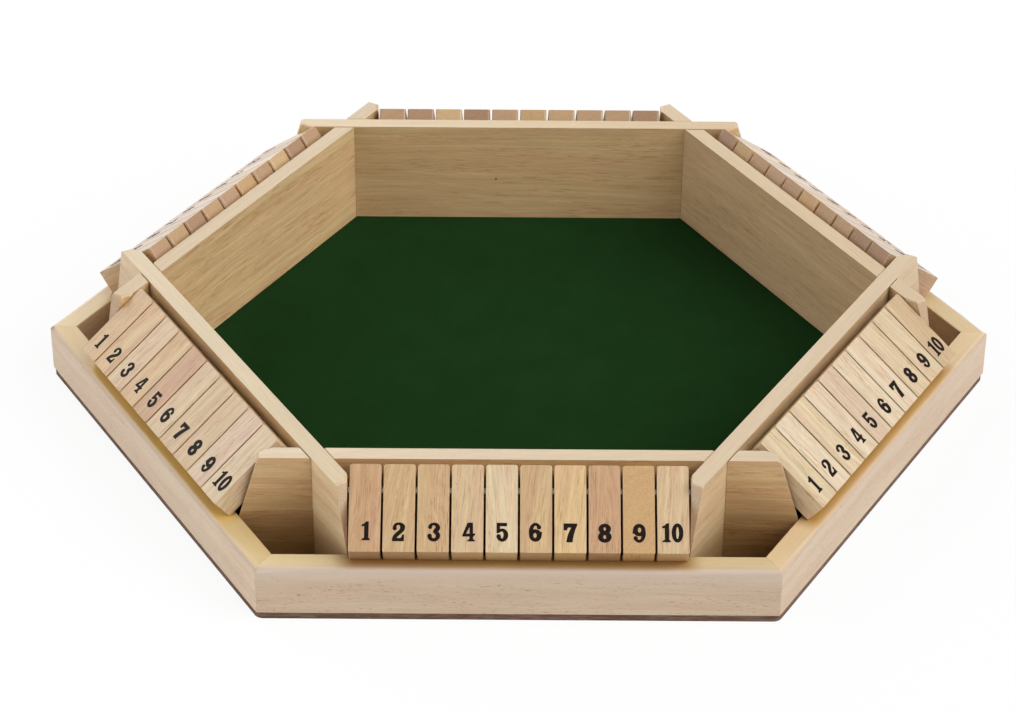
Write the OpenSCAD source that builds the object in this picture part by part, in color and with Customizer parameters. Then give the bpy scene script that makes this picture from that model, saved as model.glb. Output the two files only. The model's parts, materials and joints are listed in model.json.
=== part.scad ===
// Six-player number tile game. A hexagonal frame holds a felt-lined dice tray in the middle and
// a row of ten hinged tiles along each of its six sides, every row on a steel rod of its own.
// Millimetres. The origin is the centre of the underside, +Z is up, and +Y is the back.
// Two corners of the hexagon lie on the X axis, so the front and back sides are square to Y.

/* [Outer frame] */
// Distance from the centre to an outer corner of the frame
corner_r = 200; // [198:0.5:206]
// Thickness of an outer rail
rail_w = 10; // [8:0.5:10.5]
// Height of the rails' top face above the table
rail_top = 23.6; // [21:0.1:25]
// Thickness of the base board
base_t = 3; // [2:0.5:4]
// How far the base board's edge lies back under the rails
base_inset = 0.3; // [0:0.1:1]

/* [Dice tray] */
// Distance from the centre to the inner face of a tray wall
tray_r = 131; // [130:0.5:132]
// Thickness of a tray wall
wall_t = 7.2; // [6:0.2:8]
// Height of the walls' top face above the table
wall_top = 50.6; // [48:0.1:52]
// Thickness of the felt mat
felt_t = 0.8; // [0.6:0.1:2]
// How much shorter a wall is along its top than along its foot, at each end
ear_rake = 8.4; // [4:0.2:10]

/* [Number tiles] */
// Width of a tile, along its row
tile_w = 12.1; // [11:0.1:12.4]
// Distance from one tile to the next
tile_pitch = 13; // [12.8:0.1:13.2]
// Length of a tile, from its numbered end to its hinged end
tile_l = 35; // [33:0.5:36]
// Thickness of a tile
tile_t = 10; // [8:0.2:10]
// Radius of the corners of a tile's face at its hinged end
tile_corner = 1.1; // [0.5:0.1:2]
// Radius of the corners at its numbered end
tile_foot_corner = 0.6; // [0.5:0.1:2]
// Lean of a resting tile, in degrees from upright
tile_lean = 53.5; // [52:0.5:56]

/* [Hinge rods] */
// Diameter of a rod
rod_d = 3; // [2.5:0.1:3.4]
// Length of a rod, of which both ends sit in blind holes
rod_l = 141.6; // [138:0.2:142]
// Distance from a tile's hinged end to the rod's axis
rod_inset = 9.2; // [8:0.2:9.4]
// Distance from a tray wall's outer face to the rod's axis
rod_offset = 11; // [10.8:0.1:11.4]

/* [Hidden] */
$fn = 64;
sides = 6;
tiles_per_row = 10;
side_angle = 360 / sides;
eps = 0.5;

// Clearances
joint_gap = 0.15;
rest_gap = 0.2;
tile_bore_gap = 0.1;
seat_bore_gap = 0.05;
ear_gap = 0.85;
felt_gap = 0.25;
base_corner_r = 4;

// Distances from the centre to the flat sides
frame_flat = corner_r * cos(30);
rail_flat = frame_flat - rail_w;
wall_flat = tray_r + wall_t;
lap_z = (base_t + wall_top) / 2;

// A direction in plan, and the centre of the base board's corner k
function facing(angle) = [cos(angle), sin(angle)];
function base_centre(k) =
    (frame_flat - base_inset - base_corner_r) / cos(30) * facing(k * side_angle);

// Half the clear length that a row has between the ears of the walls beside it
row_half = ((tiles_per_row - 1) * tile_pitch + tile_w) / 2 + ear_gap;

// Half-lengths of a wall's inner and outer face, cut square to the next row's axis
wall_half_in = 2 * (tray_r * cos(30) - row_half);
wall_half_out = 2 * (wall_flat * cos(30) - row_half);

// The rod's place in its row: a tile hangs on it with its lower back edge on the rail
tile_below = tile_l - rod_inset;
rod_r = rod_d / 2;
rod_flat = wall_flat + rod_offset;
rod_z = rail_top + rest_gap + tile_below * cos(tile_lean) + tile_t / 2 * sin(tile_lean);

// How far a tile flips before its numbered face meets the top edge of the tray wall
edge_reach = norm([rod_offset, wall_top - rod_z]);
edge_angle = 180 - atan((wall_top - rod_z) / rod_offset);
flip_limit = edge_angle - tile_lean + acos((tile_t / 2 + rest_gap) / edge_reach);
echo(rod_flat = rod_flat, rod_z = rod_z, flip_limit = flip_limit);
echo(wall_half_in = wall_half_in, wall_half_out = wall_half_out, row_half = row_half);

// Rows run anticlockwise seen from above, starting at the front
ROWS = ["front", "front_right", "back_right", "back", "back_left", "front_left"];
// The back row is drawn in pairs of tiles and all others tile by tile
PAIRED_ROW = 3;

function tile_name(row, n) = str(ROWS[row], "_tile_", n);
function pair_name(n) = str(ROWS[PAIRED_ROW], "_tiles_", n, "_", n + 1);

FIXED = ["base_board", "felt_mat", "outer_rails", "inner_walls", "pivot_rods"];
SINGLES = [for (row = [0 : sides - 1]) if (row != PAIRED_ROW) for (n = [1 : tiles_per_row]) tile_name(row, n)];
PAIRS = [for (n = [1 : 2 : tiles_per_row - 1]) pair_name(n)];

// Turns what is drawn for the front side into the given side
module on_side(row) {
    rotate([0, 0, row * side_angle]) children();
}

// A regular hexagon given by the distance from its centre to its flat sides
module hexagon(flat) {
    circle(r = flat / cos(30), $fn = sides);
}

// A rectangle with round corners, centred
module rounded_rectangle(w, l, r) {
    square([w - 2 * r, l], center = true);
    square([w, l - 2 * r], center = true);
    for (x = [-1, 1], y = [-1, 1])
        translate([x * (w / 2 - r), y * (l / 2 - r)]) circle(r = r);
}

// The thin board under everything, with its six corners rounded
module base_board() {
    color("saddlebrown")
        linear_extrude(base_t) {
            polygon([
                for (k = [0 : sides - 1], turn = [-side_angle / 2, side_angle / 2])
                    base_centre(k) + base_corner_r * facing(k * side_angle + turn)
            ]);
            for (k = [0 : sides - 1])
                translate(base_centre(k)) circle(r = base_corner_r);
        }
}

// The felt that lines the tray's floor
module felt_mat() {
    color("darkgreen")
        translate([0, 0, base_t])
            linear_extrude(felt_t)
                hexagon(tray_r - felt_gap);
}

// One outer rail on the front side, mitred at both ends
module rail() {
    mitre = joint_gap / 2 / cos(30);
    half_out = frame_flat * tan(30) - mitre;
    half_in = rail_flat * tan(30) - mitre;
    translate([0, 0, base_t])
        linear_extrude(rail_top - base_t)
            polygon([
                [-half_out, -frame_flat],
                [half_out, -frame_flat],
                [half_in, -rail_flat],
                [-half_in, -rail_flat]
            ]);
}

module outer_rails() {
    color("wheat")
        for (row = [0 : sides - 1])
            on_side(row) rail();
}

// A tray wall's board on the front side. Both ends run on past the tray's corners as ears,
// cut square to the next row and raked back towards the top.
module wall_board() {
    intersection() {
        linear_extrude(wall_top)
            polygon([
                [-wall_half_in, -tray_r],
                [-wall_half_out, -wall_flat],
                [wall_half_out, -wall_flat],
                [wall_half_in, -tray_r]
            ]);
        translate([0, -tray_r + eps, 0])
            rotate([90, 0, 0])
                linear_extrude(wall_t + 2 * eps)
                    polygon([
                        [-wall_half_out, base_t],
                        [wall_half_out, base_t],
                        [wall_half_out, rail_top],
                        [wall_half_out - ear_rake, wall_top],
                        [ear_rake - wall_half_out, wall_top],
                        [-wall_half_out, rail_top]
                    ]);
        linear_extrude(wall_top) hexagon(rail_flat - joint_gap);
    }
}

// The slot in which the wall of the next side crosses this one
module lap_slot(turn, low, high) {
    rotate([0, 0, turn])
        translate([-corner_r, -wall_flat - joint_gap, low])
            cube([2 * corner_r, wall_t + 2 * joint_gap, high - low]);
}

// A straight round bar along the front row's rod
module rod_line(r, l) {
    translate([0, -rod_flat, rod_z])
        rotate([0, 90, 0])
            cylinder(r = r, h = l, center = true);
}

// A tray wall. An over wall is slotted from below and an under wall from above, so that
// they cross at the tray's corners in half laps. Each ear has a blind hole for a rod's end.
module wall(over) {
    low = over ? base_t - eps : lap_z - joint_gap / 2;
    high = over ? lap_z + joint_gap / 2 : wall_top + eps;
    difference() {
        wall_board();
        for (turn = [-side_angle, side_angle]) {
            lap_slot(turn, low, high);
            rotate([0, 0, turn]) rod_line(rod_r + seat_bore_gap, rod_l + 2 * rest_gap);
        }
    }
}

module inner_walls() {
    color("burlywood")
        for (row = [0 : sides - 1])
            on_side(row) wall(row % 2 == 1);
}

module pivot_rods() {
    color("silver")
        for (row = [0 : sides - 1])
            on_side(row) rod_line(rod_r, rod_l);
}

// A tile's face, its numbered end towards -Y
module tile_face() {
    rounded_rectangle(tile_w, tile_l, tile_corner);
    translate([0, -tile_l / 4]) rounded_rectangle(tile_w, tile_l / 2, tile_foot_corner);
}

// A tile at rest in the front row. Its numbered face looks outwards and up.
module tile(n) {
    color("navajowhite")
        translate([(n - (tiles_per_row + 1) / 2) * tile_pitch, -rod_flat, rod_z])
            rotate([-tile_lean, 0, 0])
                difference() {
                    translate([0, 0, rod_inset - tile_l / 2])
                        rotate([90, 0, 0])
                            linear_extrude(tile_t, center = true)
                                tile_face();
                    rotate([0, 90, 0])
                        cylinder(r = rod_r + tile_bore_gap, h = tile_w + 2 * eps, center = true);
                }
}

base_board();
felt_mat();
outer_rails();
inner_walls();
pivot_rods();
for (row = [0 : sides - 1], n = [1 : tiles_per_row])
    if (row != PAIRED_ROW)
        on_side(row) tile(n);
for (n = [1 : 2 : tiles_per_row - 1], k = [0, 1])
    on_side(PAIRED_ROW) tile(n + k);
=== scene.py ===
import json
import math
import random

import bmesh
import bpy
from mathutils import Matrix, Vector
from mathutils.geometry import delaunay_2d_cdt


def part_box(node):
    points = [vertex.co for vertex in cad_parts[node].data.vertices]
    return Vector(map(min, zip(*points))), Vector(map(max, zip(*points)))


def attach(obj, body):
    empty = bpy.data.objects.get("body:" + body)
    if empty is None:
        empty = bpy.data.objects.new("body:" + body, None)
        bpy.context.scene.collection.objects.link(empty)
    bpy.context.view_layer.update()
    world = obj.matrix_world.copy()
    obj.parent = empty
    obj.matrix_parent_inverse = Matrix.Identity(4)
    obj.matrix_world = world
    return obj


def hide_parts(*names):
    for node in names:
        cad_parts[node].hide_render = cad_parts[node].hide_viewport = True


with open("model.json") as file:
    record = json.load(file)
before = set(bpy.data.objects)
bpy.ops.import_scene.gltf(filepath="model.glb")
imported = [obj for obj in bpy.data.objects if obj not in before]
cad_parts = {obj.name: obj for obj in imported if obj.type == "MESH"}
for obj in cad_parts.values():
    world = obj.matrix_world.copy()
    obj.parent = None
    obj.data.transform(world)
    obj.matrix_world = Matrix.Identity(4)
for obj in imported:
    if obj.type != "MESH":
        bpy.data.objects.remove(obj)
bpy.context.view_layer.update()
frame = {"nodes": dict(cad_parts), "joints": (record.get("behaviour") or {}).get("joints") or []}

MM = 0.001
WOOD_SEED = 5
FELT_SEED = 11
ROWS = ("front", "front_right", "back_right", "back", "back_left", "front_left")
PAIRED_ROW = "back"
TILES = range(1, 11)
ENDS = (-1, 1)
UP = Vector((0.0, 0.0, 1.0))
# Half the angle by which one side of the hexagon turns from the next
HALF_SIDE = math.radians(30)

# The tiles, as the model has them
TILE_LENGTH = 35 * MM
TILE_THICKNESS = 10 * MM
ROD_INSET = 9.2 * MM
TILE_PITCH = 13 * MM
TILE_LEAN = math.radians(53.5)

# The frame, measured on the model: how far out its sides lie, and how high its tops
FRAME_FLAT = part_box("outer_rails")[1].y
RAIL_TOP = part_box("outer_rails")[1].z
WALL_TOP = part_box("inner_walls")[1].z

# How far the sanded edges are eased
TILE_EASE = 0.45 * MM
WALL_EASE = 0.7 * MM
EAR_EASE = 0.9 * MM
RAIL_EASE = 0.8 * MM
SHOULDER_EASE = 2.0 * MM
EASE_STEPS = 3
SHOULDER_STEPS = 5
CORNER_ROUND = 0.8 * MM
# The flats that make up half of a round corner, in degrees from the rail's side
CORNER_TURNS = (10, 20, 30)
MITRE_CLOSED = 0.05 * MM

# What counts as one point, as one flat face, as an edge to ease and as an edge to shade crisply
WELD = 0.001 * MM
FLAT = math.radians(0.5)
SHARP = math.radians(30)
CRISP = math.radians(40)
# How near to a top, a mitre or a rod an edge lies that belongs to it
TOP_SLACK = 0.01 * MM
MITRE_SLACK = 0.5 * MM
WALL_TOP_SLACK = 2.5 * MM
RAIL_TOP_SLACK = 0.1 * MM
HOLE_SLACK = 2.5 * MM
# The shortest edge that wear reaches, and the cosine to its board's length below which one runs across
LEAST_WORN = 2 * MM
ACROSS_LIMIT = 0.9

# The printed numbers
NUMBER_HEIGHT = 7.2 * MM
NUMBER_FROM_END = 4.35 * MM
INK_PROUD = 0.03 * MM
INK_SUNK = 0.03 * MM
# How far off its place each front number is printed, in millimetres along the row and up the tile
FRONT_SHIFTS = {
    1: (0.5, 0.3),
    3: (0.3, 0.0),
    4: (0.6, 0.1),
    5: (0.2, 0.1),
    6: (-0.25, 0.2),
    10: (-0.35, 0.3),
}
# How far the others drift at random, and how much higher up the tile whole rows are printed
PRINT_DRIFT = 0.3
ROW_SHIFTS = {"front_right": 0.5, "front_left": 0.6}

# The camera, fitted to the photograph
PHOTO_WIDTH = 1017
FOCAL_PIXELS = 3043.0
SENSOR_MM = 36.0
CAMERA_TARGET = Vector((-4.31, -32.63, 30.6)) * MM
CAMERA_DISTANCE = 1267.2 * MM
CAMERA_AZIMUTH = math.radians(-0.04)
CAMERA_ELEVATION = math.radians(32.43)
CAMERA_ROLL = math.radians(0.41)
CAMERA_CLIP = 20.0

# The studio: a sheet of paper for a floor, in metres, a dim sky and soft lamps
FLOOR_HALF = 4.0
FLOOR_GLOW = 0.9
PAPER = (0.9, 0.9, 0.9, 1.0)
WHITE = (1.0, 1.0, 1.0, 1.0)
SKY_LEVEL = 0.05
SOFTNESS = math.radians(60)
# Each lamp's azimuth and elevation in degrees, and its strength
LAMPS = {
    "back_left": (-150, 20, 1.67),
    "left": (-70, 20, 1.55),
    "front": (0, 40, 0.42),
    "right": (70, 40, 2.99),
}


def colour(red, green, blue):
    """A linear colour from the 0 to 255 values that a screen shows."""
    shares = [c / 255 for c in (red, green, blue)]
    return tuple(s / 12.92 if s <= 0.04045 else ((s + 0.055) / 1.055) ** 2.4 for s in shares) + (1.0,)


# Node trees

def feed(tree, socket, value):
    """Links a node's output to the socket, or sets the socket to a plain value."""
    if isinstance(value, bpy.types.NodeSocket):
        tree.links.new(value, socket)
    else:
        socket.default_value = value


def node(tree, kind, inputs=(), **settings):
    """A new node, with its settings, and its inputs by name or place."""
    made = tree.nodes.new(kind)
    for name, value in settings.items():
        setattr(made, name, value)
    for name, value in dict(inputs).items():
        feed(tree, made.inputs[name], value)
    return made


def calc(tree, operation, a, b=0.0, c=0.0):
    return node(tree, "ShaderNodeMath", {0: a, 1: b, 2: c}, operation=operation).outputs[0]


def vector(tree, operation, a, b=(0.0, 0.0, 0.0)):
    return node(tree, "ShaderNodeVectorMath", {0: a, 1: b}, operation=operation).outputs[0]


def scaled(tree, a, factor):
    return node(tree, "ShaderNodeVectorMath", {0: a, "Scale": factor}, operation="SCALE").outputs[0]


def times(tree, a, b):
    return calc(tree, "MULTIPLY", a, b)


def noise(tree, where, stretch, detail=2.0, roughness=0.5, output="Fac"):
    """Soft noise around 0.5, with as many features per millimetre along each axis as stretch says."""
    stretched = vector(tree, "MULTIPLY", where, stretch)
    values = {"Vector": stretched, "Scale": 1.0, "Detail": detail, "Roughness": roughness}
    return node(tree, "ShaderNodeTexNoise", values).outputs[output]


def ramp(tree, value, low, high, to_low=0.0, to_high=1.0):
    """Goes smoothly from to_low to to_high while the value goes from low to high."""
    return node(tree, "ShaderNodeMapRange", {"Value": value, "From Min": low, "From Max": high,
                                             "To Min": to_low, "To Max": to_high},
                interpolation_type="SMOOTHSTEP").outputs[0]


def mixed(tree, share, a, b, blend="MIX"):
    made = node(tree, "ShaderNodeMix", data_type="RGBA", blend_type=blend)
    for place, value in ((0, share), (6, a), (7, b)):
        feed(tree, made.inputs[place], value)
    return made.outputs[2]


def parts_of(tree, where):
    return node(tree, "ShaderNodeSeparateXYZ", {0: where}).outputs


def emptied(owner):
    """The node tree of a new material or world, with nothing in it."""
    owner.use_nodes = True
    owner.node_tree.nodes.clear()
    return owner.node_tree


def principled(name):
    """A new material, its tree and its shader."""
    material = bpy.data.materials.new(name)
    tree = emptied(material)
    shader = node(tree, "ShaderNodeBsdfPrincipled")
    node(tree, "ShaderNodeOutputMaterial", {0: shader.outputs[0]})
    return material, tree, shader


def placed(tree, place):
    """Coordinates in millimetres in the frame that place gives, fixed to the piece."""
    where = node(tree, "ShaderNodeTexCoord").outputs["Object"]
    return node(tree, "ShaderNodeMapping", {"Vector": where, "Location": place.to_translation(),
                                            "Rotation": place.to_euler(), "Scale": (MM, MM, MM)},
                vector_type="TEXTURE").outputs[0]


def height_of(tree):
    """The height above the table at rest, in millimetres."""
    return parts_of(tree, placed(tree, Matrix.Identity(4)))["Z"]


def facing_up(tree):
    """1 on level tops and 0 on slopes and sides."""
    facing = node(tree, "ShaderNodeTexCoord").outputs["Normal"]
    return ramp(tree, parts_of(tree, facing)["Z"], 0.6, 0.95)


# Wood

WOOD_INPUTS = {
    "Vector": ("NodeSocketVector", (0.0, 0.0, 0.0)),
    "Grain": ("NodeSocketVector", (1.0, 0.0, 0.0)),
    "Seed": ("NodeSocketFloat", 0.0),
    "Stretch": ("NodeSocketVector", (1.0, 1.0, 1.0)),
    "Pale": ("NodeSocketColor", (0.7, 0.5, 0.3, 1.0)),
    "Deep": ("NodeSocketColor", (0.5, 0.3, 0.2, 1.0)),
    "Blush": ("NodeSocketColor", (0.6, 0.4, 0.3, 1.0)),
    "End": ("NodeSocketColor", (0.4, 0.3, 0.2, 1.0)),
    "Top": ("NodeSocketColor", (1.0, 1.0, 1.0, 1.0)),
    "Top Share": ("NodeSocketFloat", 0.0),
    "Ring": ("NodeSocketFloat", 3.0),
    "Bands": ("NodeSocketFloat", 0.5),
    "Streaks": ("NodeSocketFloat", 0.5),
    "Marks": ("NodeSocketFloat", 0.5),
    "Pores": ("NodeSocketFloat", 0.5),
}
WOOD_OUTPUTS = {"Color": "NodeSocketColor", "Roughness": "NodeSocketFloat", "Normal": "NodeSocketVector"}

# The noises that wood is made of: features per millimetre along each axis, detail and roughness
MEANDER = ((0.012, 0.04, 0.04), 1.0, 0.5)
FIGURE = {
    "patches": ((0.014, 0.2, 0.2), 1.0, 0.5),
    "streaks": ((0.05, 1.0, 1.0), 3.0, 0.6),
    "fibres": ((0.2, 3.6, 3.6), 2.0, 0.6),
    "marks": ((0.12, 2.2, 2.2), 1.0, 0.5),
    "pits": ((0.5, 2.1, 2.1), 1.0, 0.5),
    "flocks": ((0.03, 0.25, 0.25), 1.0, 0.5),
}
SPECKLE = ((0.5, 1.5, 1.5), 3.0, 0.75)
# How far the grain meanders, in millimetres, how far one seed lies from the next, and the depth of pores
MEANDER_WIDTH = 9.0
SEED_STEP = (17.0, 5.3, 9.7)
GRAIN_DEPTH = 0.02 * MM

TOP_SHARE = 0.75
TOP_WAVER = 0.4
END_RINGS = 0.18
WOOD_SHINE = 0.35
TILE_LACQUER = 0.35
INK_LACQUER = 0.07
LACQUER_ROUGHNESS = 0.2
MARK_TINT = (0.8, 0.68, 0.58, 1.0)
PORE_TINT = (0.68, 0.56, 0.48, 1.0)
KNOT_TINT = (0.3, 0.2, 0.13, 1.0)
# Painted shade at a wall's outer foot
FOOT_SHADE_TINT = (0.53, 0.47, 0.34, 1.0)
# A painted sheen on a rail's outer side, also the colour of a rail's sawn ends
SHEEN_AND_END_WOOD = colour(200, 182, 168)
# A painted highlight on a rail's rounded shoulder
SHOULDER_HIGHLIGHT = colour(190, 171, 154)


def open_group():
    """A node group with the wood's inputs and outputs and nothing between them."""
    tree = bpy.data.node_groups.new("solid_wood", "ShaderNodeTree")
    for name, (kind, value) in WOOD_INPUTS.items():
        tree.interface.new_socket(name=name, in_out="INPUT", socket_type=kind).default_value = value
    for name, kind in WOOD_OUTPUTS.items():
        tree.interface.new_socket(name=name, in_out="OUTPUT", socket_type=kind)
    return tree, node(tree, "NodeGroupInput").outputs, node(tree, "NodeGroupOutput").inputs


def year_rings(tree, source, where):
    """Light and dark years, by the distance from the tree's middle."""
    across = vector(tree, "MULTIPLY", where, (0.0, 1.0, 1.0))
    radius = node(tree, "ShaderNodeVectorMath", {0: across}, operation="LENGTH").outputs["Value"]
    years = calc(tree, "ADD", calc(tree, "DIVIDE", radius, source["Ring"]), source["Seed"])
    values = {"W": years, "Scale": 1.0, "Detail": 3.0, "Roughness": 0.6}
    return node(tree, "ShaderNodeTexNoise", values, noise_dimensions="1D").outputs["Fac"]


def long_grain(tree, source, rings, figure, waver):
    """The colour of a board's faces and edges, and how deep its pores are."""
    banded = times(tree, ramp(tree, rings, 0.32, 0.68), source["Bands"])
    body = mixed(tree, banded, source["Pale"], source["Deep"])
    body = mixed(tree, ramp(tree, figure["patches"], 0.35, 0.7), body, source["Blush"])
    body = scaled(tree, body, calc(tree, "ADD", waver, 1.0))
    flocks = ramp(tree, figure["flocks"], 0.4, 0.6)
    marked = times(tree, times(tree, ramp(tree, figure["marks"], 0.54, 0.67), flocks), source["Marks"])
    body = mixed(tree, marked, body, MARK_TINT, "MULTIPLY")
    thinned = calc(tree, "MULTIPLY_ADD", flocks, 0.6, 0.4)
    pitted = times(tree, times(tree, ramp(tree, figure["pits"], 0.6, 0.74), thinned), source["Pores"])
    return mixed(tree, pitted, body, PORE_TINT, "MULTIPLY"), pitted


def end_grain(tree, source, rings, where):
    """The colour of a board's sawn ends."""
    ringed = times(tree, ramp(tree, rings, 0.35, 0.7), END_RINGS)
    sawn = mixed(tree, ringed, source["End"], MARK_TINT, "MULTIPLY")
    speckle = calc(tree, "MULTIPLY_ADD", noise(tree, where, *SPECKLE), 0.8, 0.6)
    return scaled(tree, sawn, speckle)


def on_end(tree, source):
    """1 on a board's sawn ends and 0 on its faces and edges."""
    facing = node(tree, "ShaderNodeTexCoord").outputs["Normal"]
    along = node(tree, "ShaderNodeVectorMath", {0: facing, 1: source["Grain"]}, operation="DOT_PRODUCT")
    return ramp(tree, calc(tree, "ABSOLUTE", along.outputs["Value"]), 0.5, 0.75)


def wood_group():
    """Solid wood. The grain runs along X and the tree's middle is the X axis, in millimetres, so that
    faces, edges and ends all show what a board sawn from it would show."""
    tree, source, sink = open_group()
    shift = scaled(tree, SEED_STEP, source["Seed"])
    raw = vector(tree, "ADD", vector(tree, "MULTIPLY", source["Vector"], source["Stretch"]), shift)
    sway = vector(tree, "SUBTRACT", noise(tree, raw, *MEANDER, output="Color"), (0.5, 0.5, 0.5))
    meander = vector(tree, "MULTIPLY", sway, (0.0, MEANDER_WIDTH, MEANDER_WIDTH))
    rings = year_rings(tree, source, vector(tree, "ADD", source["Vector"], meander))
    lined = vector(tree, "ADD", raw, meander)
    figure = {name: noise(tree, lined, *kind) for name, kind in FIGURE.items()}
    lines = calc(tree, "ADD", times(tree, figure["streaks"], 0.65), times(tree, figure["fibres"], 0.35))
    waver = times(tree, calc(tree, "SUBTRACT", lines, 0.5), source["Streaks"])

    body, pitted = long_grain(tree, source, rings, figure, waver)
    top = scaled(tree, source["Top"], calc(tree, "MULTIPLY_ADD", waver, TOP_WAVER, 1.0))
    body = mixed(tree, times(tree, facing_up(tree), source["Top Share"]), body, top)
    body = mixed(tree, on_end(tree, source), body, end_grain(tree, source, rings, raw))

    height = calc(tree, "SUBTRACT", lines, pitted)
    bump = node(tree, "ShaderNodeBump", {"Strength": 0.5, "Distance": GRAIN_DEPTH, "Height": height})
    feed(tree, sink["Color"], body)
    feed(tree, sink["Roughness"], calc(tree, "MULTIPLY_ADD", lines, 0.14, 0.24))
    feed(tree, sink["Normal"], bump.outputs[0])
    return tree


WOOD = wood_group()

# Shades of the timber: pale, deep, blush and sawn end
SHADES = {
    "dove": (colour(196, 176, 151), colour(183, 160, 133), colour(190, 164, 139), colour(186, 156, 126)),
    "wheat": (colour(194, 171, 143), colour(180, 155, 126), colour(187, 159, 131), colour(186, 156, 126)),
    "chalk": (colour(206, 183, 154), colour(192, 166, 136), colour(199, 170, 141), colour(186, 156, 126)),
    "ivory": (colour(215, 198, 170), colour(198, 173, 137), colour(209, 184, 156), colour(194, 163, 115)),
    "cream": (colour(209, 190, 155), colour(190, 164, 125), colour(203, 176, 145), colour(192, 161, 115)),
    "maple": (colour(218, 193, 153), colour(196, 165, 121), colour(211, 180, 143), colour(194, 162, 122)),
    "sand": (colour(202, 178, 141), colour(180, 149, 108), colour(195, 164, 130), colour(184, 151, 108)),
    "rose": (colour(205, 182, 154), colour(186, 155, 125), colour(200, 169, 144), colour(175, 142, 108)),
    "tan": (colour(195, 166, 124), colour(172, 136, 92), colour(187, 152, 114), colour(172, 138, 102)),
    "pink": (colour(189, 155, 116), colour(167, 129, 89), colour(183, 143, 109), colour(160, 125, 92)),
    "honey": (colour(210, 182, 136), colour(187, 151, 101), colour(202, 167, 124), colour(180, 147, 101)),
    "ash": (colour(200, 173, 136), colour(176, 145, 106), colour(190, 161, 124), colour(178, 145, 104)),
    "brown": (colour(198, 167, 122), colour(172, 135, 90), colour(188, 150, 108), colour(176, 146, 114)),
    "umber": (colour(190, 160, 126), colour(168, 134, 99), colour(182, 148, 116), colour(152, 117, 86)),
    "gold": (colour(196, 161, 112), colour(170, 130, 80), colour(189, 150, 102), colour(186, 150, 103)),
}

# How each kind of piece shows its grain
RAIL_LOOK = {"Ring": 6.0, "Bands": 0.35, "Streaks": 0.4, "Marks": 0.35, "Pores": 1.0}
CLEAR_LOOK = {"Ring": 4.0, "Bands": 0.45, "Streaks": 0.75, "Marks": 0.8, "Pores": 0.45}
BROWN_LOOK = {"Ring": 4.0, "Bands": 0.5, "Streaks": 0.9, "Marks": 1.3, "Pores": 0.6}
FLECKED_LOOK = {"Ring": 4.0, "Bands": 0.4, "Streaks": 0.8, "Marks": 0.8, "Pores": 0.5}
TILE_LOOK = {"Bands": 0.5, "Streaks": 1.0, "Marks": 1.1, "Pores": 0.5}

# Where a rail's painted light lies, in millimetres: heights above the table of the painted sheen on its
# outer side and of the painted highlight on its shoulder, and how far along and across it the painted shadow
# of the resting tiles reaches
SHEEN_HEIGHTS = (14.6, 22.6)
SHOULDER_HEIGHTS = (21.1, 22.6)
TILE_SHADOW_ALONG = (62.0, 72.0)
TILE_SHADOW_ACROSS = (0.0, 7.0)
SHOULDER_HIGHLIGHT_SHARE = 0.3
# The outer half of a rail or wall in its own frame, the height below which a wall's painted foot shade is
# full, and the size of a pin knot
OUTER_HALF = (1.0, 3.0)
FOOT_START = 12.6
KNOT_RADII = (0.25, 0.85)


def pin_knot(tree, body, where):
    """Darkens a spot of the wood, as a twig that grew there leaves it."""
    beside = placed(tree, Matrix.Translation(where))
    away = node(tree, "ShaderNodeVectorMath", {0: beside}, operation="LENGTH").outputs["Value"]
    return mixed(tree, ramp(tree, away, *KNOT_RADII, 1.0, 0.0), body, KNOT_TINT, "MULTIPLY")


def rail_sheen_and_shadow(tree, body, board, sheen_share, tile_shadow):
    """Paints a sheen on the upper part of a rail's outer side, a highlight on its rounded shoulder, and the
    shadow of the resting tiles on its top.
    """
    height = height_of(tree)
    local = parts_of(tree, placed(tree, board))
    up = facing_up(tree)
    outside = ramp(tree, local["Z"], *OUTER_HALF)
    # Painted sheen, stronger towards the top of the outer side
    wear_and_sheen = times(tree, ramp(tree, height, *SHEEN_HEIGHTS, 0.0, sheen_share), outside)
    body = mixed(tree, wear_and_sheen, body, SHEEN_AND_END_WOOD)
    # Painted highlight on the rounded shoulder
    rounded = ramp(tree, height, *SHOULDER_HEIGHTS, 0.0, SHOULDER_HIGHLIGHT_SHARE + sheen_share)
    sloping = times(tree, rounded, calc(tree, "SUBTRACT", 1.0, up))
    body = mixed(tree, times(tree, sloping, outside), body, SHOULDER_HIGHLIGHT)
    # Painted shadow of the resting tiles on the top
    along = ramp(tree, calc(tree, "ABSOLUTE", local["X"]), *TILE_SHADOW_ALONG, 1.0, 0.0)
    across = ramp(tree, local["Z"], *TILE_SHADOW_ACROSS, 1.0, 0.0)
    return mixed(tree, times(tree, times(tree, along, across), up), body, tile_shadow, "MULTIPLY")


def wall_foot_shade(tree, body, board, foot_top):
    """Paints shade on a wall's outer foot, darker towards the bottom, where little light reaches behind the
    tiles.
    """
    outside = ramp(tree, parts_of(tree, placed(tree, board))["Z"], *OUTER_HALF)
    foot_shade_share = times(tree, ramp(tree, height_of(tree), FOOT_START, foot_top, 1.0, 0.0), outside)
    return mixed(tree, foot_shade_share, body, FOOT_SHADE_TINT, "MULTIPLY")


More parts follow.
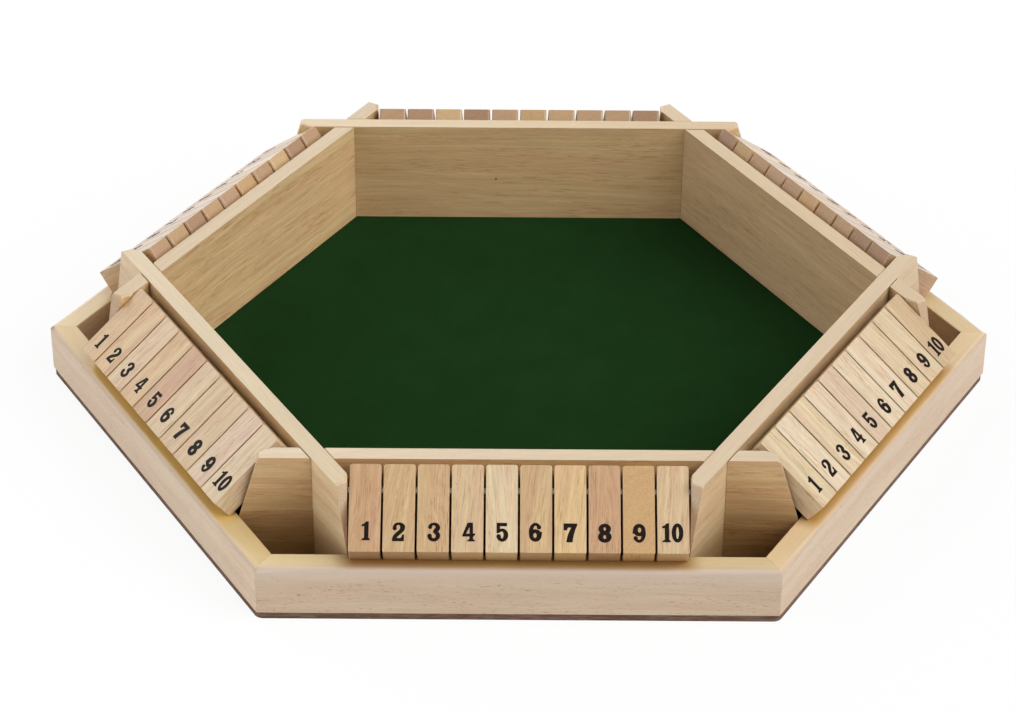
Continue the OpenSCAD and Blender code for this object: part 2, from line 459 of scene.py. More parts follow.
def wood(name, board, shade, seed, look, pith, slant=0.0, top=None, length=1.0, end=None, painted_light=None,
         lacquer=0.0):
    """Wood for one board. The board's frame has X along it and Z out of its face, and pith is where the
    tree's middle lies, across and behind the face, in millimetres."""
    material, tree, shader = principled(name)
    turned = board @ Matrix.Rotation(math.radians(slant), 4, "Z")
    middle = turned @ Matrix.Translation((0.0, pith[0] * MM, -pith[1] * MM))
    pale, deep, blush, sawn = SHADES[shade]
    made = node(tree, "ShaderNodeGroup", node_tree=WOOD)
    values = {"Vector": placed(tree, middle), "Grain": board.to_3x3().col[0], "Seed": seed,
              "Stretch": (1.0 / length, 1.0, 1.0), "Pale": pale, "Deep": deep, "Blush": blush,
              "End": end or sawn}
    if top:
        values.update({"Top": top, "Top Share": TOP_SHARE})
    values.update(look)
    for socket, value in values.items():
        feed(tree, made.inputs[socket], value)
    body = made.outputs["Color"]
    # Adds a rail's painted sheen, highlight and shadow, or a wall's painted foot shade and its knot
    if painted_light:
        body = painted_light(tree, body)
    feed(tree, shader.inputs["Base Color"], body)
    feed(tree, shader.inputs["Roughness"], made.outputs["Roughness"])
    feed(tree, shader.inputs["Normal"], made.outputs["Normal"])
    shader.inputs["Specular IOR Level"].default_value = WOOD_SHINE
    shader.inputs["Coat Weight"].default_value = lacquer
    shader.inputs["Coat Roughness"].default_value = LACQUER_ROUGHNESS
    return material


# Felt, steel, board and ink

FELT_DARK = (0.0058, 0.0255, 0.0048, 1.0)
FELT_PALE = (0.0116, 0.042, 0.0098, 1.0)
# Steel darkened and warmed: painted shade and painted reflection of the brown wood around the rods
STEEL_DARK = (0.15, 0.13, 0.105, 1.0)
STEEL_PALE = (0.25, 0.225, 0.185, 1.0)
BASE_DARK = colour(90, 68, 54)
BASE_PALE = colour(114, 91, 76)
INK_BLACK = colour(20, 12, 8)
INK_WORN = colour(44, 31, 22)


def felt_material():
    material, tree, shader = principled("green_felt")
    where = placed(tree, Matrix.Identity(4))
    fibres = noise(tree, where, (1.6, 1.6, 1.6), 4.0, 0.7)
    mottle = noise(tree, where, (0.05, 0.05, 0.05), 3.0, 0.6)
    share = calc(tree, "ADD", times(tree, fibres, 0.8), times(tree, mottle, 0.2))
    feed(tree, shader.inputs["Base Color"], mixed(tree, ramp(tree, share, 0.3, 0.7), FELT_DARK, FELT_PALE))
    bump = node(tree, "ShaderNodeBump", {"Strength": 0.6, "Distance": 0.1 * MM, "Height": fibres})
    feed(tree, shader.inputs["Normal"], bump.outputs[0])
    feed(tree, shader.inputs["Roughness"], ramp(tree, fibres, 0.2, 0.8, 0.85, 1.0))
    shader.inputs["Specular IOR Level"].default_value = 0.0
    shader.inputs["Sheen Weight"].default_value = 0.01
    shader.inputs["Sheen Roughness"].default_value = 0.6
    return material


def steel_material():
    material, tree, shader = principled("rod_steel")
    where = placed(tree, Matrix.Identity(4))
    scratches = noise(tree, where, (0.9, 0.9, 3.0), 3.0, 0.7)
    feed(tree, shader.inputs["Base Color"], mixed(tree, scratches, STEEL_DARK, STEEL_PALE))
    feed(tree, shader.inputs["Roughness"], ramp(tree, scratches, 0.3, 0.7, 0.2, 0.34))
    shader.inputs["Metallic"].default_value = 1.0
    return material


def base_material():
    material, tree, shader = principled("base_wood")
    where = placed(tree, Matrix.Identity(4))
    chips = noise(tree, where, (0.16, 0.16, 1.2), 2.0)
    hairs = noise(tree, where, (0.22, 0.22, 3.0), 1.0)
    body = mixed(tree, ramp(tree, chips, 0.35, 0.65), BASE_DARK, BASE_PALE)
    body = scaled(tree, body, calc(tree, "MULTIPLY_ADD", hairs, 0.24, 0.88))
    feed(tree, shader.inputs["Base Color"], body)
    feed(tree, shader.inputs["Roughness"], ramp(tree, hairs, 0.3, 0.7, 0.62, 0.8))
    bump = node(tree, "ShaderNodeBump", {"Strength": 0.1, "Distance": 0.04 * MM, "Height": hairs})
    feed(tree, shader.inputs["Normal"], bump.outputs[0])
    shader.inputs["Specular IOR Level"].default_value = 0.15
    return material


def ink_material():
    material, tree, shader = principled("number_ink")
    where = placed(tree, Matrix.Identity(4))
    wear_and_sheen = noise(tree, where, (0.8, 0.8, 0.8), 4.0, 0.7)
    feed(tree, shader.inputs["Base Color"], mixed(tree, ramp(tree, wear_and_sheen, 0.45, 0.75), INK_BLACK, INK_WORN))
    feed(tree, shader.inputs["Roughness"], ramp(tree, wear_and_sheen, 0.3, 0.7, 0.4, 0.6))
    shader.inputs["Specular IOR Level"].default_value = 0.05
    shader.inputs["Coat Weight"].default_value = INK_LACQUER
    shader.inputs["Coat Roughness"].default_value = LACQUER_ROUGHNESS
    return material


# Where each row and each tile is

def hinges():
    """For each tile node, the middle of its hinge, and the direction along its row from 1 to 10."""
    found = {}
    for joint in frame["joints"]:
        found[joint["child"]] = (Vector(joint["pos_m"]), -Vector(joint["axis"]))
    return found


HINGES = hinges()


def row_body(row, n):
    """The node that holds tile n of a row, and how far along the row it is from the hinge's middle."""
    if row != PAIRED_ROW:
        return f"{row}_tile_{n}", 0.0
    first = n - 1 + n % 2
    return f"{row}_tiles_{first}_{first + 1}", (n - first - 0.5) * TILE_PITCH


def tiles_by_node(row):
    """The numbers of the tiles that each node of a row holds."""
    numbers = {}
    for n in TILES:
        numbers.setdefault(row_body(row, n)[0], []).append(n)
    return numbers


def outwards(along):
    """The level direction away from the tray, square to the one along a row."""
    return Vector((along.y, -along.x, 0.0))


def row_axes(row):
    """The direction along a row and the one outwards."""
    along = HINGES[row_body(row, 1)[0]][1]
    return along, outwards(along)


def corner_way(along, out, end):
    """The direction from the middle of the frame to its corner at one end of a row."""
    return out * math.cos(HALF_SIDE) + along * end * math.sin(HALF_SIDE)


def tile_frame(row, n):
    """A resting tile's frame on its hinge: X along the row, Z towards the hinged end, -Y out of its face."""
    name, offset = row_body(row, n)
    place, along = HINGES[name]
    face = outwards(along) * math.cos(TILE_LEAN) + UP * math.sin(TILE_LEAN)
    up = along.cross(face)
    turn = Matrix((along, -face, -up)).transposed()
    return Matrix.Translation(place + along * offset) @ turn.to_4x4()


def as_board(place, long_axis, face_axis):
    """A board's frame at a place: X along it and Z out of its face."""
    x, z = Vector(long_axis), Vector(face_axis)
    return Matrix.Translation(place) @ Matrix((x, z.cross(x), z)).transposed().to_4x4()


def row_of(place):
    """The row on whose side a point lies."""
    return max(ROWS, key=lambda row: row_axes(row)[1].dot(place))


# Pieces

def finished(piece, body, slot, *nodes):
    """Says which body a piece rides on and the model's nodes that it replaces, which it hides; slot is not
    used.
    """
    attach(piece, body)
    if nodes:
        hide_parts(*nodes)


def add_object(name, mesh, material):
    piece = bpy.data.objects.new(name, mesh)
    bpy.context.scene.collection.objects.link(piece)
    mesh.materials.clear()
    mesh.materials.append(material)
    return piece


def solid_from(first):
    """All vertices of the solid that one of them belongs to."""
    solid, edge = {first}, [first]
    while edge:
        vertex = edge.pop()
        near = {e.other_vert(vertex) for e in vertex.link_edges} - solid
        solid |= near
        edge.extend(near)
    return solid


def solids_of(node_name):
    """A CAD node's separate solids in the order of its mesh, each as a clean mesh in the part's frame."""
    whole = bmesh.new()
    whole.from_mesh(frame["nodes"][node_name].data)
    bmesh.ops.remove_doubles(whole, verts=whole.verts, dist=WELD)
    seen = set()
    found = []
    for first in whole.verts:
        if first in seen:
            continue
        solid = solid_from(first)
        seen |= solid
        part = bmesh.new()
        copies = {v: part.verts.new(v.co) for v in whole.verts if v in solid}
        for face in whole.faces:
            if face.verts[0] in solid:
                part.faces.new([copies[v] for v in face.verts])
        found.append(part)
    whole.free()
    return found


def middle_of(part):
    return sum((v.co for v in part.verts), Vector()) / len(part.verts)


def ease(part, width, chosen, steps=EASE_STEPS):
    """Rounds the sharp edges that chosen() picks."""
    bmesh.ops.dissolve_limit(part, angle_limit=FLAT, verts=part.verts, edges=part.edges)
    edges = [e for e in part.edges if len(e.link_faces) == 2 and e.calc_face_angle() > SHARP and chosen(e)]
    bmesh.ops.bevel(part, geom=edges, offset=width, offset_type="OFFSET", segments=steps, profile=0.5,
                    affect="EDGES", clamp_overlap=True)


def shave(part, point, facing):
    """Takes off what lies beyond a plane."""
    cut = bmesh.ops.bisect_plane(part, geom=part.verts[:] + part.edges[:] + part.faces[:], plane_co=point,
                                 plane_no=facing, clear_outer=True)
    rim = [e for e in cut["geom_cut"] if isinstance(e, bmesh.types.BMEdge)]
    bmesh.ops.edgeloop_fill(part, edges=rim)


def board_mesh(name, part):
    """The mesh of a shape that is done, smooth but for its crisp edges."""
    mesh = bpy.data.meshes.new(name)
    bmesh.ops.recalc_face_normals(part, faces=part.faces)
    for face in part.faces:
        face.smooth = True
    for edge in part.edges:
        edge.smooth = len(edge.link_faces) == 2 and edge.calc_face_angle() < CRISP
    part.to_mesh(mesh)
    part.free()
    return mesh


def soften(piece):
    """Even shading of flat faces beside eased edges."""
    weighted = piece.modifiers.new("weighted", "WEIGHTED_NORMAL")
    weighted.weight = 100
    weighted.keep_sharp = True


def round_corners(part, along, out):
    """Sands a rail's outer corners round, so that it and the next rail share one round corner."""
    for end in ENDS:
        centre = corner_way(along, out, end) * (FRAME_FLAT - CORNER_ROUND) / math.cos(HALF_SIDE)
        for turn in CORNER_TURNS:
            a = math.radians(turn)
            facing = out * math.cos(a) + along * end * math.sin(a)
            shave(part, centre + facing * CORNER_ROUND, facing)


def on_top(edge):
    return all(v.co.z > RAIL_TOP - TOP_SLACK for v in edge.verts)


def on_outer_face(edge, out):
    return all(out.dot(v.co) > FRAME_FLAT - MM for v in edge.verts)


def at_mitre(edge, mitre):
    """An edge along a rail's mitred end, given the direction square to it."""
    return all(abs(v.co.dot(mitre)) < MITRE_SLACK for v in edge.verts)


def shape_rail(part, along, out):
    """Closes a rail's mitres, rounds its shoulder and outer corners and eases its top."""
    for v in part.verts:
        v.co += along * math.copysign(MITRE_CLOSED, along.dot(v.co))
    ease(part, SHOULDER_EASE, lambda e: on_top(e) and on_outer_face(e, out), SHOULDER_STEPS)
    round_corners(part, along, out)
    mitres = [corner_way(along, out, end).cross(UP) for end in ENDS]
    ease(part, RAIL_EASE, lambda e: on_top(e) and not any(at_mitre(e, mitre) for mitre in mitres))


# The rails' shades, their tops' colours, and the painted shadow on the tops where tiles rest on them
RAIL_SHADES = {"front": "dove", "front_right": "wheat"}
RAIL_TOPS = {"front_right": colour(236, 207, 160), "front_left": colour(209, 182, 124)}
RAIL_TOP_WOOD = colour(222, 199, 150)
TILE_SHADOWS = {
    "front": (0.5, 0.35, 0.19, 1.0),
    "front_right": (0.57, 0.44, 0.19, 1.0),
    "front_left": (1.0, 0.89, 0.47, 1.0),
}
TILE_SHADOW_TINT = (0.85, 0.75, 0.6, 1.0)
# How strong the painted sheen is on each rail's outer side
SHEEN_SHARES = {"front": 0.65}
SHEEN_SHARE = 0.15
# Ranges for the random figure of rails and walls: the seed, and the pith across and behind the face
BOARD_SEEDS = (1, 60)
RAIL_PITH = ((-30, 30), (30, 60))
WALL_PITH = ((-60, 60), (25, 60))
# How drawn out the rails' figure is
RAIL_DRAWN_OUT = 1.1


def pith_in(ranges, seeds):
    return tuple(seeds.uniform(*span) for span in ranges)


def rail_timber(row, board, seeds):
    sheen_share = SHEEN_SHARES.get(row, SHEEN_SHARE)
    tile_shadow = TILE_SHADOWS.get(row, TILE_SHADOW_TINT)
    return wood(row + "_rail_wood", board, RAIL_SHADES.get(row, "chalk"), seeds.uniform(*BOARD_SEEDS),
                RAIL_LOOK, pith_in(RAIL_PITH, seeds), top=RAIL_TOPS.get(row, RAIL_TOP_WOOD),
                length=RAIL_DRAWN_OUT, end=SHEEN_AND_END_WOOD,
                painted_light=lambda tree, body: rail_sheen_and_shadow(tree, body, board, sheen_share, tile_shadow))


def dress_rails(seeds):
    for part in solids_of("outer_rails"):
        row = row_of(middle_of(part))
        along, out = row_axes(row)
        board = as_board(middle_of(part), along, out)
        shape_rail(part, along, out)
        timber = rail_timber(row, board, seeds)
        piece = add_object(row + "_rail", board_mesh(row + "_rail", part), timber)
        soften(piece)
        finished(piece, "frame", "rail_wood", "outer_rails")


# The walls' timber: shade, look, how drawn out its figure is, and the colour of its top
WALLS = {
    "front": ("brown", BROWN_LOOK, 1.2, colour(211, 194, 167)),
    "front_right": ("sand", CLEAR_LOOK, 1.5, colour(208, 188, 160)),
    "back_right": ("ash", FLECKED_LOOK, 1.2, colour(205, 183, 151)),
    "back": ("honey", CLEAR_LOOK, 1.3, colour(201, 180, 146)),
    "back_left": ("honey", BROWN_LOOK, 1.5, colour(185, 164, 132)),
    "front_left": ("maple", CLEAR_LOOK, 1.5, colour(194, 177, 145)),
}
WALL_END = colour(187, 161, 132)
# How high the painted shade at a wall's foot reaches, in millimetres
FOOT_TOPS = {"front": 36.6}
FOOT_TOP = 30.6
# A pin knot in the back wall's inner face
KNOT_ROW = "back"
KNOT_PLACE = Vector((-10.6, 131.0, 23.7)) * MM


def near_top(edge):
    return min(v.co.z for v in edge.verts) > WALL_TOP - WALL_TOP_SLACK


def across_board(edge, along):
    """An edge of a wall's top at one of its ends or beside a slot."""
    way = (edge.verts[1].co - edge.verts[0].co).normalized()
    return near_top(edge) and abs(way.dot(along)) < ACROSS_LIMIT


def worn_edge(edge):
    """A wall's edges that show, without its lap slots' floors, its foot and the rod holes."""
    low, high = sorted(v.co.z for v in edge.verts)
    if high < WALL_TOP - WALL_TOP_SLACK or low < RAIL_TOP - RAIL_TOP_SLACK:
        return False
    return near_top(edge) or edge.calc_length() > LEAST_WORN


def wall_surface(tree, body, row, board):
    body = wall_foot_shade(tree, body, board, FOOT_TOPS.get(row, FOOT_TOP))
    return pin_knot(tree, body, KNOT_PLACE) if row == KNOT_ROW else body


def wall_timber(row, board, seeds):
    shade, look, length, top = WALLS[row]
    return wood(row + "_wall_wood", board, shade, seeds.uniform(*BOARD_SEEDS), look,
                pith_in(WALL_PITH, seeds), top=top, length=length, end=WALL_END,
                painted_light=lambda tree, body: wall_surface(tree, body, row, board))


def dress_walls(seeds):
    for part in solids_of("inner_walls"):
        row = row_of(middle_of(part))
        along, out = row_axes(row)
        board = as_board(middle_of(part), along, out)
        ease(part, EAR_EASE, lambda e: across_board(e, along))
        ease(part, WALL_EASE, worn_edge)
        timber = wall_timber(row, board, seeds)
        piece = add_object(row + "_wall", board_mesh(row + "_wall", part), timber)
        soften(piece)
        finished(piece, "frame", "wall_wood", "inner_walls")


# The shade of each tile of a row, from 1 to 10
TILE_SHADES = {
    "front": ("pink", "tan", "tan", "sand", "cream", "tan", "honey", "pink", "gold", "sand"),
    "front_right": ("cream", "ivory", "cream", "ivory", "rose", "ivory", "ivory", "cream", "cream", "ash"),
    "back_right": ("umber", "umber", "tan", "tan", "gold", "tan", "rose", "tan", "honey", "umber"),
    "back": ("umber", "tan", "tan", "ash", "honey", "tan", "umber", "cream", "pink", "tan"),
    "back_left": ("tan", "pink", "cream", "tan", "gold", "rose", "ash", "pink", "ash", "tan"),
    "front_left": ("brown", "brown", "sand", "brown", "pink", "sand", "ash", "sand", "rose", "cream"),
}
# How far the grain of a front tile runs aslant, in degrees, and the one tile sawn across the grain
FRONT_SLANTS = {1: -1, 2: -9, 3: 0, 6: -5, 7: -5, 8: -1, 10: -4}
CROSS_CUT = ("front", 9)
# Ranges for the random figure of the tiles
TILE_SLANTS = (-4, 4)
TILE_RINGS = (2.0, 3.6)
TILE_SEEDS = (1, 90)
TILE_PITH = ((-40, 40), (5, 50))


def tile_wood(row, n, seeds):
    place = tile_frame(row, n)
    turn = place.to_3x3()
    board = as_board(place.to_translation(), turn.col[2], -turn.col[1])
    slant = seeds.uniform(*TILE_SLANTS)
    look = dict(TILE_LOOK, Ring=seeds.uniform(*TILE_RINGS))
    seed = seeds.uniform(*TILE_SEEDS)
    pith = pith_in(TILE_PITH, seeds)
    if row == "front":
        slant = FRONT_SLANTS.get(n, slant)
    if (row, n) == CROSS_CUT:
        board = as_board(place.to_translation(), -turn.col[1], turn.col[2])
    return wood(f"{row}_{n}_wood", board, TILE_SHADES[row][n - 1], seed, look, pith, slant,
                lacquer=TILE_LACQUER)


def dress_tiles(row, node_name, numbers, seeds):
    """The tiles of one node, each with all its edges eased but not its hole."""
    rod, along = HINGES[node_name]
    parts = sorted(solids_of(node_name), key=lambda part: along.dot(middle_of(part)))
    for n, part in zip(numbers, parts):
        ease(part, TILE_EASE, lambda e: (e.verts[0].co - rod).cross(along).length > HOLE_SLACK)
        name = f"{row}_tile_{n}_wood" if len(parts) == 1 else f"{row}_tile_{n}"
        piece = add_object(name, board_mesh(name, part), tile_wood(row, n, seeds))
        soften(piece)
        finished(piece, node_name, "tile_wood", node_name)


# Numbers, drawn in hundredths of their height. Each is a list of shapes, laid one over the other,
# that either print or clear what is below.
PRINT = True
CLEAR = False
NUMBER_UNIT = NUMBER_HEIGHT / 100
# How far the ink spreads past the drawn outlines, and the least number that divides it at a corner
INK_SPREAD = 2.0
CORNER_LIMIT = 0.5
# What counts as one point in an outline and in all of them together, and the kind of triangulation
# that keeps only what lies inside the outlines
SAME_POINT = 1e-4
MERGED_POINTS = 1e-3
INSIDE_ONLY = 1
# How far to the right of its one the nought of the ten stands
TEN_STEP = 50


def oval(x, y, half_width, half_height, steps=40):
    """Points of an oval around a middle."""
    turns = [2 * math.pi * i / steps for i in range(steps)]
    return [(x + half_width * math.cos(a), y + half_height * math.sin(a)) for a in turns]


def bend(a, b, c, d, steps=8):
    """Points of a Bezier curve from a, without its end d."""
    points = []
    for i in range(steps):
        t = i / steps
        weights = ((1 - t) ** 3, 3 * t * (1 - t) ** 2, 3 * t * t * (1 - t), t ** 3)
        points.append(tuple(sum(w * p[k] for w, p in zip(weights, (a, b, c, d))) for k in (0, 1)))
    return points


def foot(left, stem_left, stem_right, right, height=5.5, rise=16.0):
    """A bracketed slab under a stem."""
    low, mid = height + 1, height + 4
    return ([(left, 0), (right, 0), (right, height)]
            + bend((right, height), (stem_right + 3, low), (stem_right, mid), (stem_right, rise))
            + [(stem_right, rise), (stem_left, rise)]
            + bend((stem_left, rise), (stem_left, mid), (stem_left - 3, low), (left, height)))


def one():
    flag = ([(14, 79), (1, 76)]
            + bend((1, 76), (-2, 80), (0, 84), (3, 85))
            + bend((3, 85), (11, 87), (17, 92), (22, 100))
            + [(22, 100), (33.5, 100), (33.5, 60), (14, 60)])
    stem = [(14, 10), (33.5, 10), (33.5, 70), (14, 70)]
    return [(PRINT, flag), (PRINT, stem), (PRINT, foot(0, 14, 33.5, 41))]


def two():
    body = (bend((2, 68), (3, 88), (14, 100), (32, 100))
            + bend((32, 100), (51, 100), (64, 90), (64, 75))
            + bend((64, 75), (64, 58), (52, 49), (40, 38))
            + bend((40, 38), (31, 30), (22, 22), (19.5, 13.5))
            + [(19.5, 13.5), (40, 13.5)]
            + bend((40, 13.5), (46, 14), (50, 22), (52.5, 34))
            + [(52.5, 34), (59.5, 34), (58.5, 0), (0, 0)]
            + bend((0, 0), (0, 22), (5, 29), (17, 42))
            + bend((17, 42), (29, 54), (41.5, 60), (41.5, 74))
            + bend((41.5, 74), (41.5, 84), (37, 89), (30, 89))
            + bend((30, 89), (23, 89), (18, 85), (18, 76))
            + [(18, 76)])
    return [(PRINT, body), (PRINT, oval(11.5, 69, 9.5, 9.5, 24))]


def three():
    gap = [(-5, 77), (-5, 28), (30, 28), (36, 44), (36, 64), (30, 77)]
    waist = [(31, 60.5), (29, 53.5), (31, 46.5), (46, 44), (46, 63)]
    return [(PRINT, oval(33, 74, 30, 26)), (PRINT, oval(31.5, 29.5, 31.5, 30)),
            (CLEAR, oval(31.5, 77, 11, 11.5)), (CLEAR, oval(31.5, 28.5, 13, 14.5)),
            (CLEAR, gap), (PRINT, waist),
            (PRINT, oval(12, 77, 9, 9, 24)), (PRINT, oval(10, 29, 10, 10, 24))]


def four():
    sail = [(27, 100), (51.5, 100), (52.5, 80), (53.5, 26.5), (0.5, 26.5), (0, 32)]
    hole = [(37, 80), (38, 39), (15.5, 39)]
    tip = ([(50, 26.5), (57, 26.5)]
           + bend((57, 26.5), (59, 31), (62, 34), (65.5, 36))
           + [(65.5, 36), (62, 41.5)]
           + bend((62, 41.5), (59, 39.5), (55, 39), (50, 39)))
    stem = [(38, 28), (38, 14), (53.5, 14), (53.5, 28)]
    return [(PRINT, sail), (CLEAR, hole), (PRINT, tip), (PRINT, stem),
            (PRINT, foot(26, 38, 53.5, 63, 5.0, 17.0))]


def five():
    top = ([(3, 100), (54, 100)]
           + bend((54, 100), (55.5, 94), (54.5, 89), (52.5, 84.5))
           + [(52.5, 84.5), (17, 84.5)])
    stem = ([(3, 100), (3, 47)]
            + bend((3, 47), (7, 45), (11, 46), (14, 49))
            + [(14, 49), (24, 60), (17.5, 66), (17.5, 100)])
    gap = [(-5, 60), (-5, 28), (30, 28), (30, 57), (14, 49), (3, 60)]
    return [(PRINT, oval(31, 34, 29.5, 34.5)), (CLEAR, gap), (CLEAR, oval(29.5, 35, 10, 21)),
            (PRINT, top), (PRINT, stem), (PRINT, oval(12, 27, 10.2, 10.2, 24))]


def six():
    gap = [(34, 77), (34, 50), (75, 50), (75, 77)]
    notch = [(27, 66), (30, 82), (36, 77), (36, 64.4)]
    return [(PRINT, oval(33, 50, 33, 50)), (CLEAR, oval(34, 62, 14, 25)), (CLEAR, gap),
            (PRINT, oval(33, 32, 31, 32.5)), (CLEAR, oval(31, 32, 10.5, 15.5)), (CLEAR, notch),
            (PRINT, oval(51.5, 77, 9.8, 9.8, 24))]


def seven():
    return [(PRINT, ([(0, 100), (68, 100), (68, 91)]
                     + bend((68, 91), (58, 72), (49, 45), (44, 0))
                     + [(44, 0), (15, 0)]
                     + bend((15, 0), (17, 34), (30, 60), (42, 81))
                     + [(42, 81), (24, 81)]
                     + bend((24, 81), (18, 80), (15.5, 75), (15, 66))
                     + [(15, 66), (0, 66)]))]


def eight():
    return [(PRINT, oval(33.8, 72.7, 31, 27.8)), (PRINT, oval(34, 29.3, 34, 29.8)),
            (CLEAR, oval(33.8, 73, 8.5, 11)), (CLEAR, oval(34, 28.5, 9.5, 12.5))]


def nine():
    """A six, turned by half a turn."""
    return [(inked, [(65 - x, 100 - y) for x, y in outline]) for inked, outline in six()]


def nought():
    return [(PRINT, oval(29, 49.5, 29, 51)), (CLEAR, oval(29, 49.5, 9.5, 35))]


def ten():
    return one() + [(inked, [(x + TEN_STEP, y) for x, y in outline]) for inked, outline in nought()]


NUMBERS = {1: one, 2: two, 3: three, 4: four, 5: five, 6: six, 7: seven, 8: eight, 9: nine, 10: ten}


def anticlockwise(outline):
    area = sum(a[0] * b[1] - b[0] * a[1] for a, b in zip(outline, outline[1:] + outline[:1]))
    return outline if area > 0 else outline[::-1]


def spread(outline, by):
    """An outline grown by a distance, as ink spreads into wood, or shrunk where it is below nought."""
    points = [Vector(p) for p in anticlockwise(outline)]
    points = [p for p, before in zip(points, points[-1:] + points[:-1]) if (p - before).length > SAME_POINT]
    grown = []
    for before, p, after in zip(points[-1:] + points[:-1], points, points[1:] + points[:1]):
        a, b = (p - before).normalized(), (after - p).normalized()
        outward = Vector((a.y + b.y, -a.x - b.x)).normalized()
        grown.append(p + outward * by / max(outward.dot((a.y, -a.x)), CORNER_LIMIT))
    return grown


def printed_cells(n):
    """The points and the cells of a number that carry ink, once its shapes are laid over each other."""
    shapes = [(inked, spread(outline, INK_SPREAD if inked else -INK_SPREAD))
              for inked, outline in NUMBERS[n]()]
    points, faces = [], []
    for _, outline in shapes:
        faces.append(list(range(len(points), len(points) + len(outline))))
        points += outline
    found = delaunay_2d_cdt(points, [], faces, INSIDE_ONLY, MERGED_POINTS)
    flat, cells, covers = found[0], found[2], found[5]
    return flat, [cell for cell, over in zip(cells, covers) if over and shapes[max(over)][0]]


def number_mesh(n):
    """A number as a thin slab of ink, upright in XZ, its face to -Y and its foot's middle at the origin."""
    flat, inked = printed_cells(n)
    used = sorted({i for cell in inked for i in cell})
    middle = (min(flat[i].x for i in used) + max(flat[i].x for i in used)) / 2
    slab = bmesh.new()
    corners = {}
    for i in used:
        corners[i] = slab.verts.new(((flat[i].x - middle) * NUMBER_UNIT, INK_SUNK, flat[i].y * NUMBER_UNIT))
    for cell in inked:
        slab.faces.new([corners[i] for i in cell])
    raised = bmesh.ops.extrude_face_region(slab, geom=slab.faces[:])
    moved = [v for v in raised["geom"] if isinstance(v, bmesh.types.BMVert)]
    bmesh.ops.translate(slab, verts=moved, vec=(0.0, -INK_PROUD - INK_SUNK, 0.0))
    bmesh.ops.recalc_face_normals(slab, faces=slab.faces)
    mesh = bpy.data.meshes.new(f"number_{n}")
    slab.to_mesh(mesh)
    slab.free()
    return mesh


def print_numbers(ink, seeds):
    foot_height = ROD_INSET - TILE_LENGTH + NUMBER_FROM_END
    for n in TILES:
        mesh = number_mesh(n)
        for row in ROWS:
            drift = seeds.uniform(-PRINT_DRIFT, PRINT_DRIFT), seeds.uniform(-PRINT_DRIFT, PRINT_DRIFT)
            shift = drift[0], drift[1] + ROW_SHIFTS.get(row, 0.0)
            if row == "front":
                shift = FRONT_SHIFTS.get(n, (0.0, 0.0))
            place = Vector((shift[0] * MM, -TILE_THICKNESS / 2, foot_height + shift[1] * MM))
            number = add_object(f"{row}_number_{n}", mesh, ink)
            number.matrix_world = tile_frame(row, n) @ Matrix.Translation(place)
            finished(number, row_body(row, n)[0], "tile_wood")


# Felt

FELT_STEPS = 60
FELT_INSET = 0.1 * MM
FELT_NAP = 0.08 * MM
FELT_EDGE_DROP = 0.25 * MM


def felt_top(reach, top):
    """A hexagon of small triangles with a slightly uneven nap, as far as reach from middle to corner."""
    rng = random.Random(FELT_SEED)
    cut = bmesh.new()
    corners = {}
    steps = FELT_STEPS
    for i in range(-steps, steps + 1):
        for j in range(max(-steps, -steps - i), min(steps, steps - i) + 1):
            rim = max(abs(i), abs(j), abs(i + j)) == steps
            x = reach * (i + j / 2) / steps
            y = reach * j * math.sqrt(3) / 2 / steps
            z = top - (FELT_EDGE_DROP if rim else rng.uniform(0.0, FELT_NAP))
            corners[i, j] = cut.verts.new((x, y, z))
    for (i, j), corner in corners.items():
        right, above, back = (corners.get(near) for near in ((i + 1, j), (i, j + 1), (i - 1, j + 1)))
        if right and above:
            cut.faces.new((corner, right, above))
        if above and back:
            cut.faces.new((corner, above, back))
    return cut


def lay_felt(material):
    """The felt in the tray, cut flat from a sheet, down to the board that it lies on."""
    low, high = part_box("felt_mat")
    reach = high.x - FELT_INSET
    cut = felt_top(reach, high.z)
    raised = bmesh.ops.extrude_edge_only(cut, edges=[e for e in cut.edges if e.is_boundary])
    skirt = [v for v in raised["geom"] if isinstance(v, bmesh.types.BMVert)]
    for v in skirt:
        v.co.z = low.z
    bmesh.ops.contextual_create(cut, geom=[e for e in cut.edges if e.is_boundary])
    piece = add_object("felt_lining", board_mesh("felt_lining", cut), material)
    finished(piece, "frame", "green_felt", "felt_mat")


# Rods and base board

def dress_plain(name, material):
    """Gives a model's node its material and leaves its shape as it is."""
    plain = frame["nodes"][name]
    plain.data.materials.clear()
    plain.data.materials.append(material)


# Studio

def light_from(name, azimuth, elevation, strength):
    """A wide soft lamp, as a large panel gives. Azimuth 0 is the camera's side and 90 is the right."""
    lamp = bpy.data.lights.new(name, "SUN")
    lamp.energy = strength
    lamp.angle = SOFTNESS
    holder = bpy.data.objects.new(name, lamp)
    a, e = math.radians(azimuth), math.radians(elevation)
    towards = Vector((math.sin(a) * math.cos(e), -math.cos(a) * math.cos(e), math.sin(e)))
    holder.rotation_euler = towards.to_track_quat("Z", "Y").to_euler()
    bpy.context.scene.collection.objects.link(holder)


def seen_share(tree):
    """1 for rays that show the backdrop, to the eye or in metal, and 0 for those that light the object."""
    rays = node(tree, "ShaderNodeLightPath").outputs
    straight = calc(tree, "ADD", rays["Is Camera Ray"], rays["Is Glossy Ray"])
    return node(tree, "ShaderNodeMath", {0: straight, 1: rays["Is Transmission Ray"]},
                operation="ADD", use_clamp=True).outputs[0]


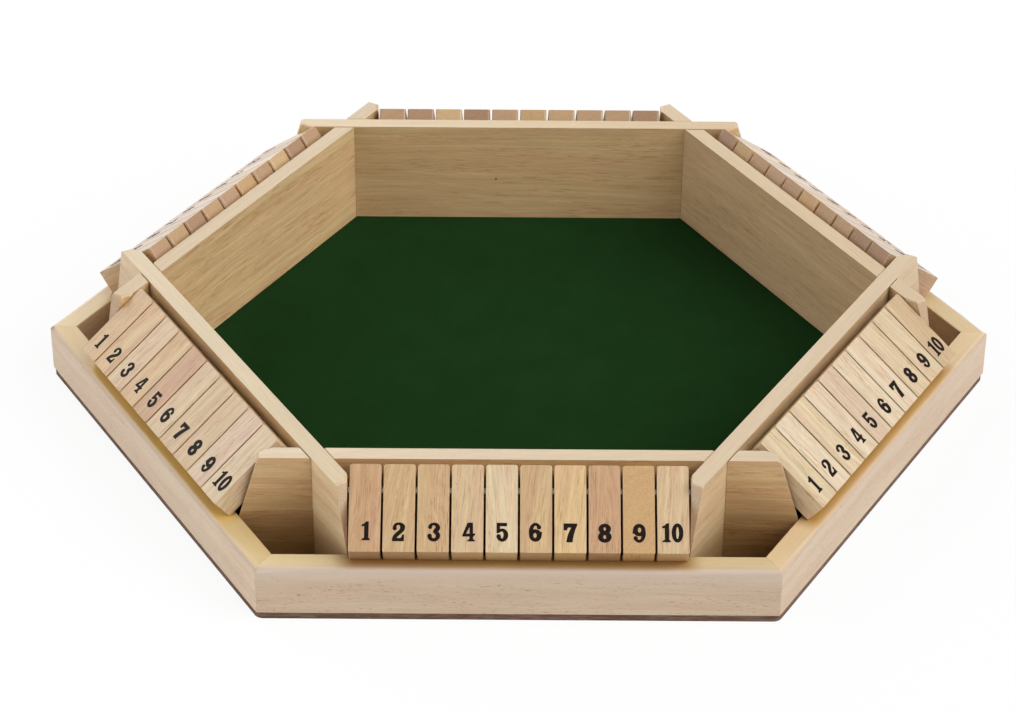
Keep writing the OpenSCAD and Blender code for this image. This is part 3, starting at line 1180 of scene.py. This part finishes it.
def make_sky():
    """A sky that is seen as white and lights the object only a little."""
    world = bpy.data.worlds.new("studio")
    bpy.context.scene.world = world
    tree = emptied(world)
    level = calc(tree, "MULTIPLY_ADD", seen_share(tree), 1.0 - SKY_LEVEL, SKY_LEVEL)
    sky = node(tree, "ShaderNodeBackground", {"Color": WHITE, "Strength": level})
    node(tree, "ShaderNodeOutputWorld", {0: sky.outputs[0]})


def make_floor():
    """A sheet of white paper that is seen as white and keeps the object's shadow."""
    sheet = bmesh.new()
    bmesh.ops.create_grid(sheet, x_segments=2, y_segments=2, size=FLOOR_HALF)
    mesh = bpy.data.meshes.new("floor")
    sheet.to_mesh(mesh)
    sheet.free()
    material = bpy.data.materials.new("floor_paper")
    tree = emptied(material)
    paper = node(tree, "ShaderNodeBsdfDiffuse", {"Color": PAPER})
    glow = node(tree, "ShaderNodeEmission", {"Color": WHITE, "Strength": 1.0})
    share = times(tree, seen_share(tree), FLOOR_GLOW)
    both = node(tree, "ShaderNodeMixShader", {0: share, 1: paper.outputs[0], 2: glow.outputs[0]})
    node(tree, "ShaderNodeOutputMaterial", {0: both.outputs[0]})
    add_object("floor", mesh, material)


def place_camera():
    """The camera that took the photograph, as fitted to its corners."""
    camera = bpy.data.objects.new("camera", bpy.data.cameras.new("camera"))
    camera.data.sensor_width = SENSOR_MM
    camera.data.lens = FOCAL_PIXELS * SENSOR_MM / PHOTO_WIDTH
    camera.data.clip_end = CAMERA_CLIP
    az, el, roll = CAMERA_AZIMUTH, CAMERA_ELEVATION, CAMERA_ROLL
    back = Vector((math.sin(az) * math.cos(el), -math.cos(az) * math.cos(el), math.sin(el)))
    right = Vector((math.cos(az), math.sin(az), 0.0))
    up = back.cross(right)
    right, up = right * math.cos(roll) + up * math.sin(roll), up * math.cos(roll) - right * math.sin(roll)
    turn = Matrix((right, up, back)).transposed().to_4x4()
    camera.matrix_world = Matrix.Translation(CAMERA_TARGET + back * CAMERA_DISTANCE) @ turn
    bpy.context.scene.collection.objects.link(camera)
    bpy.context.scene.camera = camera


def build():
    place_camera()
    seeds = random.Random(WOOD_SEED)
    dress_rails(seeds)
    dress_walls(seeds)
    for row in ROWS:
        for node_name, numbers in tiles_by_node(row).items():
            dress_tiles(row, node_name, numbers, seeds)
    print_numbers(ink_material(), seeds)
    lay_felt(felt_material())
    dress_plain("pivot_rods", steel_material())
    dress_plain("base_board", base_material())
    for name, (azimuth, elevation, strength) in LAMPS.items():
        light_from(name, azimuth, elevation, strength)
    make_sky()
    make_floor()
    bpy.context.scene.view_settings.view_transform = "Standard"


build()
